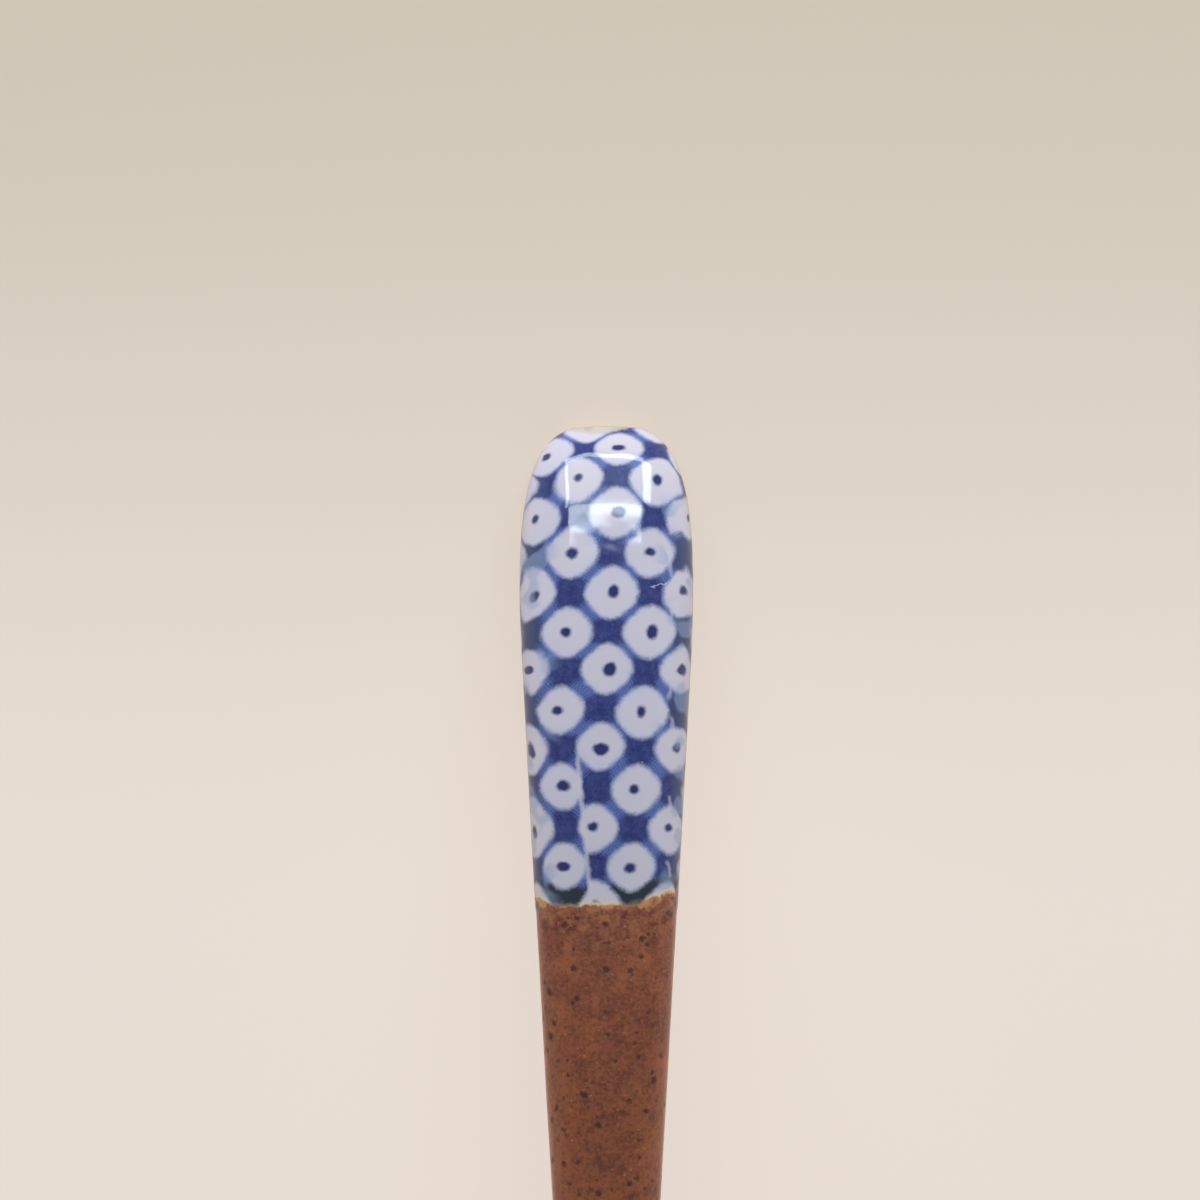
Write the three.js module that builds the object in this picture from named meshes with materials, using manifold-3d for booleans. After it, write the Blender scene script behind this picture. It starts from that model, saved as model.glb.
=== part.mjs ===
// A ceramic spoon, laid up the way a potter makes it. One pressed clay body carries two
// decorated faces, the front of the handle's end and the inside of the bowl. On each face a
// coat of white slip lies in a shallow panel of the clay, a printed transfer lies on the slip,
// and a clear glaze seals the transfer in. The clay is bare everywhere else, and it is ground
// flat in the two places where the spoon rests on a table.
//
// Millimetres, +Z up. The origin is the middle of the ground foot under the bowl. The handle
// runs along +Y, the bowl's tip points along -Y, and X goes across.

import * as THREE from "three";
import { LoftGeometry } from "three/addons/geometries/LoftGeometry.js";
import { mergeGeometries, mergeVertices } from "three/addons/utils/BufferGeometryUtils.js";
import Module from "manifold-3d";

const wasm = await Module();
wasm.setup();

// Bowl, measured from its widest line
const BOWL_WIDTH = 40.6;
const BOWL_TIP_LENGTH = 29;
const BOWL_SHOULDER_LENGTH = 50;
const BOWL_DEPTH = 12;
const BOWL_WALL = 3.4;
const RIM_NOSE = 1.5;

// Neck and handle
const NECK_WIDTH = 8;
const NECK_THICKNESS = 7.8;
const NECK_BLEND_LENGTH = 33;
const HANDLE_LENGTH = 90;
const HANDLE_END_WIDTH = 15.4;
const HANDLE_END_THICKNESS = 7.6;
const END_ROUND_LENGTH = 24.2;
const END_NOSE_LENGTH = 8.5;
const ARCH_RISE = 4;
const ARCH_SETBACK = 12;

// Ground flats, as the depth that is taken off the curved underside
const FOOT_GRIND = 1.2;
const REST_GRIND = 0.6;

// Decorated panels
const HANDLE_PANEL_LENGTH = 42.2;
const HANDLE_PANEL_END_MARGIN = 0.4;
const HANDLE_PANEL_WRAP = THREE.MathUtils.degToRad(8);
const BOWL_PANEL_RIM_BAND = 2.6;
const BOWL_PANEL_NECK_END = 37;
const BOWL_PANEL_NECK_ROUND = 18;

// Layers in a panel, from the top down, and the clearance between neighbours
const GLAZE_PROUD = 0.1;
const GLAZE_THICKNESS = 0.25;
const PRINT_THICKNESS = 0.1;
const WHITE_SLIP_THICKNESS = 0.2;
const LAYER_GAP = 0.05;
const EDGE_GAP = 0.12;

// Exponents of the rounded shapes: 2 is an ellipse, and a larger number is squarer
const TIP_SQUARENESS = 2.15;
const END_SQUARENESS = 3.2;
const HANDLE_SECTION_SQUARENESS = 2.4;
const WALL_SECTION_SQUARENESS = 7;
const DISH_SQUARENESS = 2.2;
const SHOULDER_FALL = 1.6;
const ROUND = 2;

// Facets and working accuracy
const AROUND = 40;
const STATIONS = 64;
const PANEL_ACROSS = 14;
const PANEL_STATIONS = 18;
const LANDING_SAMPLES = 400;
const LANDING_TOLERANCE = 1e-6;
const SURFACE_STEP = 1e-4;

const tipY = -BOWL_TIP_LENGTH;
const neckY = BOWL_SHOULDER_LENGTH;
const archY = neckY + ARCH_SETBACK;
const endY = neckY + HANDLE_LENGTH;
const endRoundY = endY - END_ROUND_LENGTH;
const rimHeight = BOWL_DEPTH + BOWL_WALL / 2 - FOOT_GRIND;

const { clamp, lerp, smoothstep } = THREE.MathUtils;

// How far a rounded end still reaches at a share of the way to its tip: 1 at the start, 0 at the tip
function roundedEnd(share, squareness) {
  return (1 - clamp(share, 0, 1) ** squareness) ** (1 / squareness);
}

// The smooth fall from the bowl's widest line to the neck: 1 at the start, 0 at the neck
function shoulder(y) {
  return (1 - clamp(y / BOWL_SHOULDER_LENGTH, 0, 1) ** 2) ** SHOULDER_FALL;
}

// The straight taper of the handle, from a value at the neck to one where the end starts to round
function taper(y, atNeck, atEnd) {
  return lerp(atNeck, atEnd, (y - neckY) / (endRoundY - neckY));
}

// Half the spoon's width at y, for a skin that lies at a depth under the clay's surface
function halfWidth(y, depth) {
  if (y < 0) {
    return (BOWL_WIDTH / 2 - depth) * roundedEnd(y / (tipY + depth), TIP_SQUARENESS);
  }
  const straight = taper(y, NECK_WIDTH, HANDLE_END_WIDTH) / 2;
  const bulge = (BOWL_WIDTH / 2 - taper(0, NECK_WIDTH, HANDLE_END_WIDTH) / 2) * shoulder(y);
  const end = roundedEnd((y - endRoundY) / (END_ROUND_LENGTH - depth), END_SQUARENESS);
  return (straight + bulge - depth) * end;
}

// Share of the way from the bowl's wall to the handle's full section
function handleShare(y) {
  return smoothstep(y, neckY - NECK_BLEND_LENGTH, neckY);
}

// Half the thickness at y along the middle line, at a depth under the surface
function halfThickness(y, depth) {
  const handle = taper(y, NECK_THICKNESS, HANDLE_END_THICKNESS) / 2;
  const full = lerp(BOWL_WALL / 2, handle, handleShare(y)) - depth;
  const rim = roundedEnd((tipY + RIM_NOSE - y) / (RIM_NOSE - depth), ROUND);
  const nose = roundedEnd((y - endY + END_NOSE_LENGTH) / (END_NOSE_LENGTH - depth), ROUND);
  return full * rim * nose;
}

// How far the middle of the bowl sinks under its rim at y
function dish(y) {
  const fall = y < 0 ? 1 - (y / tipY) ** DISH_SQUARENESS : shoulder(y);
  return BOWL_DEPTH * Math.max(fall, 0);
}

// Height of the rim and of the handle's edge, for a handle that droops by drop at its end
function edgeHeight(y, drop) {
  if (y <= 0) {
    return rimHeight;
  }
  if (y < archY) {
    return rimHeight + ARCH_RISE * (0.5 - 0.5 * Math.cos((Math.PI * y) / archY));
  }
  return rimHeight + ARCH_RISE - drop * ((y - archY) / (endY - archY)) ** 2;
}

// Lowest point of the handle's underside, for a handle that droops by drop
function lowestPoint(drop) {
  const heights = crowded(archY, endY, LANDING_SAMPLES).map(
    (y) => skinPoint(-Math.PI / 2, y, 0, drop).z,
  );
  return Math.min(...heights);
}

// The droop that brings the handle's underside down to the rest's grinding depth, by halving
function landingDrop() {
  let low = 0;
  let high = 2 * (rimHeight + ARCH_RISE);
  while (high - low > LANDING_TOLERANCE) {
    const drop = (low + high) / 2;
    [low, high] = lowestPoint(drop) > -REST_GRIND ? [drop, high] : [low, drop];
  }
  return low;
}

// The middle surface of the wall, across from -1 to 1 between the edges
function middle(across, y, drop) {
  const sink = dish(y) * (1 - Math.abs(across) ** DISH_SQUARENESS);
  return new THREE.Vector3(across * halfWidth(y, 0), y, edgeHeight(y, drop) - sink);
}

// The middle surface's upward direction, from two short steps on it
function upward(across, y, drop) {
  const inside = clamp(y, tipY + SURFACE_STEP, endY - SURFACE_STEP);
  const width = middle(across + SURFACE_STEP, inside, drop).sub(
    middle(across - SURFACE_STEP, inside, drop),
  );
  const length = middle(across, inside + SURFACE_STEP, drop).sub(
    middle(across, inside - SURFACE_STEP, drop),
  );
  return width.cross(length).normalize();
}

// A point on the skin that lies at a depth under the clay's surface. The angle goes round the
// section from the -X edge over the front to the +X edge and back underneath. The nose of the
// handle's end draws back along the spoon by the same depth.
function skinPoint(angle, station, depth, drop = handleDrop) {
  const y = station - depth * clamp(1 - (endY - station) / END_NOSE_LENGTH, 0, 1);
  const squareness = lerp(WALL_SECTION_SQUARENESS, HANDLE_SECTION_SQUARENESS, handleShare(y));
  const side = -Math.cos(angle);
  const lift = Math.sign(Math.sin(angle)) * roundedEnd(Math.abs(side), squareness);
  const width = halfWidth(y, 0);
  const inset = width > 0 ? 1 - halfWidth(y, depth) / width : 0;
  const across = side * (1 - inset * Math.abs(side) ** squareness);
  const point = middle(across, y, drop);
  return point.addScaledVector(upward(across, y, drop), lift * halfThickness(y, depth));
}

const handleDrop = landingDrop();

// Stations that crowd together towards both ends, where the outline turns fastest
function crowded(from, to, count) {
  return Array.from({ length: count + 1 }, (_, i) =>
    lerp(from, to, 0.5 - 0.5 * Math.cos((Math.PI * i) / count)),
  );
}

function solidOf(geometry) {
  const bare = new THREE.BufferGeometry().copy(geometry);
  bare.deleteAttribute("normal");
  bare.deleteAttribute("uv");
  const merged = mergeVertices(bare);
  const triVerts = new Uint32Array(merged.index.array);
  const vertProperties = merged.attributes.position.array;
  return new wasm.Manifold(new wasm.Mesh({ numProp: 3, vertProperties, triVerts }));
}

function geometryOf(solid) {
  const { vertProperties, triVerts } = solid.getMesh();
  return new THREE.BufferGeometry()
    .setAttribute("position", new THREE.BufferAttribute(vertProperties, 3))
    .setIndex(new THREE.BufferAttribute(triVerts, 1));
}

// The whole spoon's outside, from the bowl's tip to the handle's end
function wholeSkin() {
  const sections = crowded(tipY, endY, STATIONS).map((y) =>
    Array.from({ length: AROUND }, (_, i) => skinPoint((2 * Math.PI * i) / AROUND, y, 0)),
  );
  return new LoftGeometry(sections);
}

// Front of the handle's end: from edge to edge and a little round each side
const handlePanel = {
  from: endY - HANDLE_PANEL_LENGTH,
  to: endY - HANDLE_PANEL_END_MARGIN,
  angles(y, grow) {
    const wrap = HANDLE_PANEL_WRAP + (2 * grow) / HANDLE_END_THICKNESS;
    return [-wrap, Math.PI + wrap];
  },
};

// Inside of the bowl: a leaf, pointed at both ends, with an even band of bare clay along the rim
const bowlPanel = {
  from: tipY + BOWL_PANEL_RIM_BAND,
  to: BOWL_PANEL_NECK_END,
  angles(y, grow) {
    const neckEnd = BOWL_PANEL_NECK_END + grow;
    const start = BOWL_PANEL_NECK_END - BOWL_PANEL_NECK_ROUND;
    const close = roundedEnd((y - start) / (neckEnd - start), ROUND);
    const reach = (halfWidth(y, BOWL_PANEL_RIM_BAND - grow) * close) / halfWidth(y, 0);
    const edge = Math.acos(clamp(reach, 0, 1));
    return [edge, Math.PI - edge];
  },
};

// The same row of values with its two ends moved
function stretched(values, first, last) {
  return [first, ...values.slice(1, -1), last];
}

// The points along the edge of a sheet of rows, once around
function border(rows) {
  const left = rows.map((row) => row[0]);
  const right = rows.map((row) => row.at(-1));
  const ahead = [...rows[0], ...right.slice(1)];
  const back = [...rows.at(-1).slice(0, -1).reverse(), ...left.slice(1, -1).reverse()];
  return [...ahead, ...back];
}

// The same faces, seen from their other side
function turnedOver(geometry) {
  geometry.index.array.reverse();
  return geometry;
}

// One layer of a panel between two depths, its outline grown by a margin. Only the outermost
// facets move for the margin, so that the facets of all layers stay parallel.
function layer(panel, top, bottom, grow = 0) {
  const stations = crowded(panel.from, panel.to, PANEL_STATIONS);
  const rows = stretched(stations, panel.from - grow, panel.to + grow).map((y) => {
    const [first, last] = panel.angles(y, 0);
    const even = Array.from({ length: PANEL_ACROSS + 1 }, (_, i) =>
      lerp(first, last, i / PANEL_ACROSS),
    );
    return { y, angles: stretched(even, ...panel.angles(y, grow)) };
  });
  const sheet = (depth) =>
    rows.map(({ y, angles }) => angles.map((angle) => skinPoint(angle, y, depth)));
  const upper = sheet(top);
  const lower = sheet(bottom);
  return mergeGeometries([
    new LoftGeometry(upper, { closed: false }),
    turnedOver(new LoftGeometry(lower, { closed: false })),
    new LoftGeometry([border(lower), border(upper)]),
  ]);
}

// Depths of the layers under the clay's surface; the glaze stands a little proud of it
const glazeTop = -GLAZE_PROUD;
const glazeBottom = glazeTop + GLAZE_THICKNESS;
const printTop = glazeBottom + LAYER_GAP;
const printBottom = printTop + PRINT_THICKNESS;
const slipTop = printBottom + LAYER_GAP;
const slipBottom = slipTop + WHITE_SLIP_THICKNESS;
const recessDepth = slipBottom + LAYER_GAP;

// Everything below the table's surface, to grind the flats
function tableBlock() {
  const length = endY - tipY;
  const block = new THREE.BoxGeometry(2 * BOWL_WIDTH, 2 * length, length);
  return block.translate(0, 0, -length / 2);
}

// The clay: the whole spoon, less a recess for each panel and the two ground flats
function clayBody() {
  const recesses = [handlePanel, bowlPanel].map((panel) =>
    solidOf(layer(panel, glazeTop - recessDepth, recessDepth, EDGE_GAP)),
  );
  const cuts = [...recesses, solidOf(tableBlock())];
  return geometryOf(cuts.reduce((clay, cut) => clay.subtract(cut), solidOf(wholeSkin())));
}

const clay = new THREE.MeshStandardMaterial({ color: 0x8a5340, roughness: 0.55, metalness: 0 });
const whiteSlip = new THREE.MeshStandardMaterial({ color: 0xe6e2dc, roughness: 0.8, metalness: 0 });
const cobalt = new THREE.MeshStandardMaterial({ color: 0x38478c, roughness: 0.7, metalness: 0 });
const glaze = new THREE.MeshStandardMaterial({ color: 0xcfd2e2, roughness: 0.1, metalness: 0 });

const spoon = new THREE.Group();

function add(name, geometry, material) {
  const mesh = new THREE.Mesh(geometry, material);
  mesh.name = name;
  spoon.add(mesh);
}

add("clay_body", clayBody(), clay);
for (const [place, panel] of [["handle", handlePanel], ["bowl", bowlPanel]]) {
  add(`${place}_white_slip`, layer(panel, slipTop, slipBottom), whiteSlip);
  add(`${place}_transfer_print`, layer(panel, printTop, printBottom), cobalt);
  add(`${place}_clear_glaze`, layer(panel, glazeTop, glazeBottom), glaze);
}

export default spoon;
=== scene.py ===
"""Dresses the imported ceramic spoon: iron-brown clay with a printed, glazed handle end and bowl."""

import math

import bmesh
import bpy
from bpy.props import FloatProperty, FloatVectorProperty, PointerProperty
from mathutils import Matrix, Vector, kdtree, noise


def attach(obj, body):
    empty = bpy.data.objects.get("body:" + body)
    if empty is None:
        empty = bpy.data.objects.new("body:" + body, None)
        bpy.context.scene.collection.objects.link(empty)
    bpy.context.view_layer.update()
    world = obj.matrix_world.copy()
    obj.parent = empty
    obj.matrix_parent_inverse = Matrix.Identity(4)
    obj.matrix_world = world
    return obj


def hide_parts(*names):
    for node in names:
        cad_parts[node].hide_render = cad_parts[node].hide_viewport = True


bl_info = {
    "name": "Ceramic Spoon",
    "version": (1, 0, 0),
    "blender": (4, 5, 0),
    "location": "3D View > Sidebar > Spoon",
    "description": "A clay spoon whose handle end and bowl are printed in blue rings and glazed",
    "category": "Add Mesh",
}

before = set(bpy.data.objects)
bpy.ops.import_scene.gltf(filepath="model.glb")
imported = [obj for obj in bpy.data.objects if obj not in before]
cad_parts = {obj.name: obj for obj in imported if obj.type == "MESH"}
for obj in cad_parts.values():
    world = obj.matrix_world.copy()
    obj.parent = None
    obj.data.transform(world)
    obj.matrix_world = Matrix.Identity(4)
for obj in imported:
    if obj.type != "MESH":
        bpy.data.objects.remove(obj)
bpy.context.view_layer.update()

MM = 0.001
CLAY_WELD = 1e-6
SHEET_WELD = 1e-7
LINE_ABOVE_SHEET = 3 * MM
ABOVE_ALL_SUMS = 1e6
CLAY_SHEEN = {"Sheen_Weight": 0.8, "Sheen_Roughness": 0.44, "Sheen_Tint": (1.0, 0.6, 0.47)}
GLAZE_SHEEN = {"Sheen_Weight": 0.6, "Sheen_Roughness": 0.5, "Sheen_Tint": (1.0, 0.8, 0.75)}
COOL_LIGHT = (0.8, 0.92, 1.0)
ROOM_COLOUR = (1.0, 0.96, 0.92, 1)


def length(name, description, millimetres):
    """A size, kept in metres."""
    return FloatProperty(
        name=name, description=description, default=millimetres * MM, unit="LENGTH", precision=5
    )


def amount(name, description, default):
    """A plain number."""
    return FloatProperty(name=name, description=description, default=default)


def turn(name, description, degrees):
    """An angle, kept in radians."""
    return FloatProperty(
        name=name, description=description, default=math.radians(degrees), subtype="ANGLE"
    )


def tint(name, description, *screen):
    """A colour, given as the red, green and blue of a screen from 0 to 255 and kept linear."""
    linear = [((channel / 255 + 0.055) / 1.055) ** 2.4 for channel in screen]
    return FloatVectorProperty(
        name=name, description=description, default=linear, size=3, min=0, max=1, subtype="COLOR"
    )


class SpoonSize(bpy.types.PropertyGroup):
    """The sizes of the spoon's skin, the same as in the solids"""

    bowl_width: length("Bowl width", "Across the middle of the bowl's wall", 40.6)
    bowl_tip: length("Bowl tip", "From the bowl's widest line to its tip", 29)
    bowl_shoulder: length("Bowl shoulder", "From the bowl's widest line to the neck", 50)
    bowl_depth: length("Bowl depth", "From the rim down to the bowl's lowest place", 12)
    bowl_wall: length("Bowl wall", "Thickness of the bowl's wall", 3.4)
    rim_nose: length("Rim nose", "Length over which the tip's rim is rounded", 1.5)
    neck_width: length("Neck width", "Width where the handle leaves the bowl", 8)
    neck_thickness: length("Neck thickness", "Thickness where the handle leaves the bowl", 7.8)
    neck_blend: length("Neck blend", "Length over which the wall thickens into the handle", 33)
    handle_length: length("Handle length", "From the neck to the handle's end", 90)
    end_width: length("End width", "Width of the handle before its end rounds off", 15.4)
    end_thickness: length("End thickness", "Thickness of the handle before its end rounds off", 7.6)
    end_round: length("End round", "Length over which the handle's outline rounds off", 24.2)
    end_nose: length("End nose", "Length over which the handle's thickness rounds off", 8.5)
    arch_rise: length("Arch rise", "How far the handle rises over the rim", 4)
    arch_setback: length("Arch setback", "From the neck to the highest place of the arch", 12)
    foot_grind: length("Foot grind", "Clay ground off under the bowl", 1.2)
    rest_grind: length("Rest grind", "Clay ground off under the handle's end", 0.6)
    handle_face: length("Handle face", "Length of the glazed end, from the handle's end", 44.4)
    handle_face_margin: length("Handle face margin", "Bare clay at the very end of the handle", 0.12)
    handle_face_wrap: turn("Handle face wrap", "How far the glaze goes round each edge", 8)
    bowl_face_band: length("Bowl face band", "Bare clay between the rim and the glaze", 2.6)
    bowl_face_neck: length("Bowl face neck", "From the bowl's widest line to the glaze's point", 37)
    bowl_face_round: length("Bowl face round", "Length over which the glaze's point closes", 18)
    glaze_proud: length("Glaze proud", "How far the glaze stands over the clay", 0.06)
    glaze_dip: length("Glaze dip", "How far the glaze's border sinks into the clay", 0.05)
    glaze_lip: length("Glaze lip", "Width over which the glaze thins out to its border", 0.45)
    glaze_thickness: length("Glaze thickness", "Thickness of slip, print and glaze together", 0.35)
    wobble: length("Wobble", "How far the pressed surface strays inwards from a perfect one", 0.05)


class SpoonPrint(bpy.types.PropertyGroup):
    """The sizes of the printed ring pattern"""

    pitch_across: length("Pitch across", "From ring to ring across the handle", 7.47)
    pitch_along: length("Pitch along", "From ring to ring along the handle", 7.28)
    lean: amount("Lean", "How far a column of rings strays sideways for its length", 0.064)
    first_across: length("First ring across", "A ring's place beside the handle's middle", 0.33)
    first_along: length("First ring along", "The same ring's place from the handle's end", 17.32)
    ring: amount("Ring", "Half the width of a ring, as a share of the way to the next", 0.423)
    dot: amount("Dot", "Radius of a ring's dot, as a share of the way to the next ring", 0.103)
    hatch: length("Hatch", "From tooth to tooth along a ring's border", 0.26)
    line: length("Line", "From the handle's end along the face to the print's end", 46.0)
    line_bow: length("Line bow", "How far the line climbs towards both edges", 0.83)
    line_lean: length("Line lean", "How far the line climbs towards the right edge", 0.4)
    seam: length("Seam", "From the handle's middle to the transfer's seam, at the end", 5.6)
    seam_slant: amount("Seam slant", "How far the seam strays sideways for its length", 0.09)
    seam_step: length("Seam step", "How far the print is out of step beyond the seam", 1.3)
    crease: length("Crease", "From the handle's middle to the crease", 6.1)
    scratch_across: length("Scratch across", "From the handle's middle to the scratch", 4.9)
    scratch_along: length("Scratch along", "From the handle's end to the scratch", 16.6)


class SpoonColours(bpy.types.PropertyGroup):
    """The colours of the clay, the print and the glaze"""

    clay: tint("Clay", "Fired iron-bearing clay", 131, 74, 56)
    clay_warm: tint("Warm clay", "Its lighter, more orange patches", 157, 92, 60)
    clay_cool: tint("Cool clay", "Its darker, more purple patches", 107, 63, 54)
    pit: tint("Pit", "Iron specks and the bottoms of pits", 66, 40, 34)
    fringe: tint("Fringe", "Clay that the glaze has reached", 206, 148, 92)
    cream: tint("Cream", "White slip where it thins out", 222, 204, 176)
    slip: tint("Slip", "White slip under the glaze", 206, 199, 211)
    haze: tint("Haze", "Slip that the blue has run into", 176, 188, 222)
    smear: tint("Smear", "Print that the wrinkled transfer has smudged", 140, 158, 192)
    # Painted highlight: the light caught by a scratch and pinholes in the glaze, painted as a pale
    # colour.
    glint: tint("Glint", "A scratch and pinholes in the glaze", 236, 233, 240)
    cap: tint("Cap", "Grey slip that the print leaves free at the handle's very end", 192, 183, 171)
    cobalt_deep: tint("Deep cobalt", "The blue between four rings", 31, 40, 101)
    cobalt_thin: tint("Thin cobalt", "The blue between two rings", 92, 110, 172)
    cobalt_dot: tint("Cobalt dot", "The dots in the rings", 40, 48, 106)
    cobalt_edge: tint("Cobalt at the edges", "The blue near the handle's edges", 62, 78, 104)
    cobalt_line: tint("Cobalt at the line", "The blue where the glaze ends", 40, 50, 60)
    # Painted shade: the far floor colour is darker, a painted fall-off of light beyond the handle's
    # end.
    floor_far: tint("Far floor", "The table beyond the handle's end", 199, 188, 172)
    floor_near: tint("Near floor", "The table by the bowl", 229, 217, 207)


class SpoonStage(bpy.types.PropertyGroup):
    """Where the camera and the lights stand, and how bright the lights are"""

    distance: length("Camera distance", "From the camera to the place it looks at", 600)
    view_width: length("View width", "Width of the picture at that place", 111)
    view_tilt: turn("View tilt", "How far the camera leans over beyond the handle's end", 10)
    target_x: length("Target across", "Where the camera looks, beside the handle", -0.6)
    target_y: length("Target along", "Where the camera looks, from the bowl's middle", 125.05)
    light_distance: length("Light distance", "From the handle's end to the soft panel", 240)
    light_tilt: turn("Light tilt", "How far the soft panel stands down from overhead", 54.4)
    highlight: length("Highlight", "From the handle's end to the place the panel faces", 4)
    fill: amount("Fill", "Brightness of the room all round", 0.02)
    panel: amount("Panel", "Brightness of the big soft light beyond the handle's end", 0.9)
    strips: amount("Strips", "Brightness of the narrow lights around it", 7.5)
    sides: amount("Sides", "Brightness of the soft lights beside and behind the spoon", 2.8)
    ahead: amount("Ahead", "Brightness of the low soft light before the handle's end", 7.9)


def clamp(value, low=0.0, high=1.0):
    return max(low, min(high, value))


def between(low, high, share):
    return low + (high - low) * share


def ease(value, low, high):
    """A smooth climb from 0 at low to 1 at high."""
    share = clamp((value - low) / (high - low))
    return share * share * (3 - 2 * share)


def rounded(share, squareness):
    """How far a rounded end still reaches: 1 at its start and 0 at its tip."""
    return (1 - clamp(share) ** squareness) ** (1 / squareness)


class SpoonForm:
    """The spoon's skin, as in the solids: a dished middle surface with a thickness on both sides."""

    TIP_SQUARENESS = 2.15
    END_SQUARENESS = 3.2
    HANDLE_SQUARENESS = 2.4
    WALL_SQUARENESS = 7
    DISH_SQUARENESS = 2.2
    SHOULDER_FALL = 1.6
    STEP = 1e-7
    LANDING_STATIONS = 200
    LANDING_HALVINGS = 24
    BROAD_WOBBLE = 6 * MM
    CLOSE_WOBBLE = 1.7 * MM
    ELSEWHERE = Vector((7.0, 3.0, 5.0))

    def __init__(self, size):
        for name in SpoonSize.__annotations__:
            setattr(self, name, getattr(size, name))
        self.tip_y = -self.bowl_tip
        self.neck_y = self.bowl_shoulder
        self.arch_y = self.neck_y + self.arch_setback
        self.end_y = self.neck_y + self.handle_length
        self.end_round_y = self.end_y - self.end_round
        self.rim_height = self.bowl_depth + self.bowl_wall / 2 - self.foot_grind
        self.sections = {}
        self.drop = 0.0
        self.land()

    def land(self):
        """Finds, by halving, the droop that brings the handle's underside down to the table."""
        count = self.LANDING_STATIONS
        far_half = [i / count for i in range(count // 2 + 1, count)]
        stations = [between(self.arch_y, self.end_y, share) for share in far_half]
        low = 0.0
        high = 2 * (self.rim_height + self.arch_rise)
        for _ in range(self.LANDING_HALVINGS):
            self.drop = (low + high) / 2
            self.sections.clear()
            lowest = min(self.skin(-math.pi / 2, station).z for station in stations)
            if lowest > -self.rest_grind:
                low = self.drop
            else:
                high = self.drop
        self.sections.clear()

    def shoulder(self, y):
        return (1 - clamp(y / self.bowl_shoulder) ** 2) ** self.SHOULDER_FALL

    def taper(self, y, at_neck, at_end):
        return between(at_neck, at_end, (y - self.neck_y) / (self.end_round_y - self.neck_y))

    def half_width(self, y, depth=0.0):
        if y < 0:
            return (self.bowl_width / 2 - depth) * rounded(
                y / (self.tip_y + depth), self.TIP_SQUARENESS
            )
        straight = self.taper(y, self.neck_width, self.end_width) / 2
        at_middle = self.taper(0, self.neck_width, self.end_width) / 2
        bulge = (self.bowl_width / 2 - at_middle) * self.shoulder(y)
        end = rounded((y - self.end_round_y) / (self.end_round - depth), self.END_SQUARENESS)
        return (straight + bulge - depth) * end

    def handle_share(self, y):
        return ease(y, self.neck_y - self.neck_blend, self.neck_y)

    def half_thickness(self, y, depth=0.0):
        handle = self.taper(y, self.neck_thickness, self.end_thickness) / 2
        full = between(self.bowl_wall / 2, handle, self.handle_share(y)) - depth
        rim = rounded((self.tip_y + self.rim_nose - y) / (self.rim_nose - depth), 2)
        nose = rounded((y - self.end_y + self.end_nose) / (self.end_nose - depth), 2)
        return full * rim * nose

    def dish(self, y):
        fall = 1 - abs(y / self.tip_y) ** self.DISH_SQUARENESS if y < 0 else self.shoulder(y)
        return self.bowl_depth * max(fall, 0.0)

    def edge_height(self, y):
        if y <= 0:
            return self.rim_height
        if y < self.arch_y:
            rise = 0.5 - 0.5 * math.cos(math.pi * y / self.arch_y)
            return self.rim_height + self.arch_rise * rise
        share = (y - self.arch_y) / (self.end_y - self.arch_y)
        return self.rim_height + self.arch_rise - self.drop * share**2

    def section(self, y):
        """The section's measures at y, and how its width, dish and edge change along the spoon."""
        if y not in self.sections:
            inside = clamp(y, self.tip_y + self.STEP, self.end_y - self.STEP)
            ahead = inside + self.STEP
            behind = inside - self.STEP
            slopes = [
                (measure(ahead) - measure(behind)) / (2 * self.STEP)
                for measure in (self.half_width, self.dish, self.edge_height)
            ]
            share = self.handle_share(y)
            squareness = between(self.WALL_SQUARENESS, self.HANDLE_SQUARENESS, share)
            self.sections[y] = (
                self.half_width(y),
                self.dish(y),
                self.edge_height(y),
                squareness,
                *slopes,
            )
        return self.sections[y]

    def skin(self, angle, station, depth=0.0):
        """A point at a depth under the skin. The angle goes from the -X edge over the front."""
        nose = clamp(1 - (self.end_y - station) / self.end_nose)
        y = station - depth * nose
        width, dish, edge, squareness, width_slope, dish_slope, edge_slope = self.section(y)
        side = -math.cos(angle)
        lift = math.copysign(rounded(abs(side), squareness), math.sin(angle))
        inset = 1 - self.half_width(y, depth) / width if width > 0 else 0.0
        across = side * (1 - inset * abs(side) ** squareness)
        sunk = 1 - abs(across) ** self.DISH_SQUARENESS
        steep = abs(across) ** (self.DISH_SQUARENESS - 1) * self.DISH_SQUARENESS
        rise = math.copysign(dish * steep, across)
        climb = edge_slope - dish_slope * sunk
        point = Vector((across * width, y, edge - dish * sunk))
        upward = Vector((-rise, rise * across * width_slope - width * climb, width))
        return point + upward.normalized() * lift * self.half_thickness(y, depth)

    def wobbled(self, point, normal):
        """The same point, drawn inwards a little as a hand-pressed surface is."""
        broad = noise.noise(point / self.BROAD_WOBBLE)
        close = noise.noise(point / self.CLOSE_WOBBLE + self.ELSEWHERE)
        share = 1 + clamp(0.5 + 0.5 * broad + 0.2 * close)
        return point - normal * self.wobble * share


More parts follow.
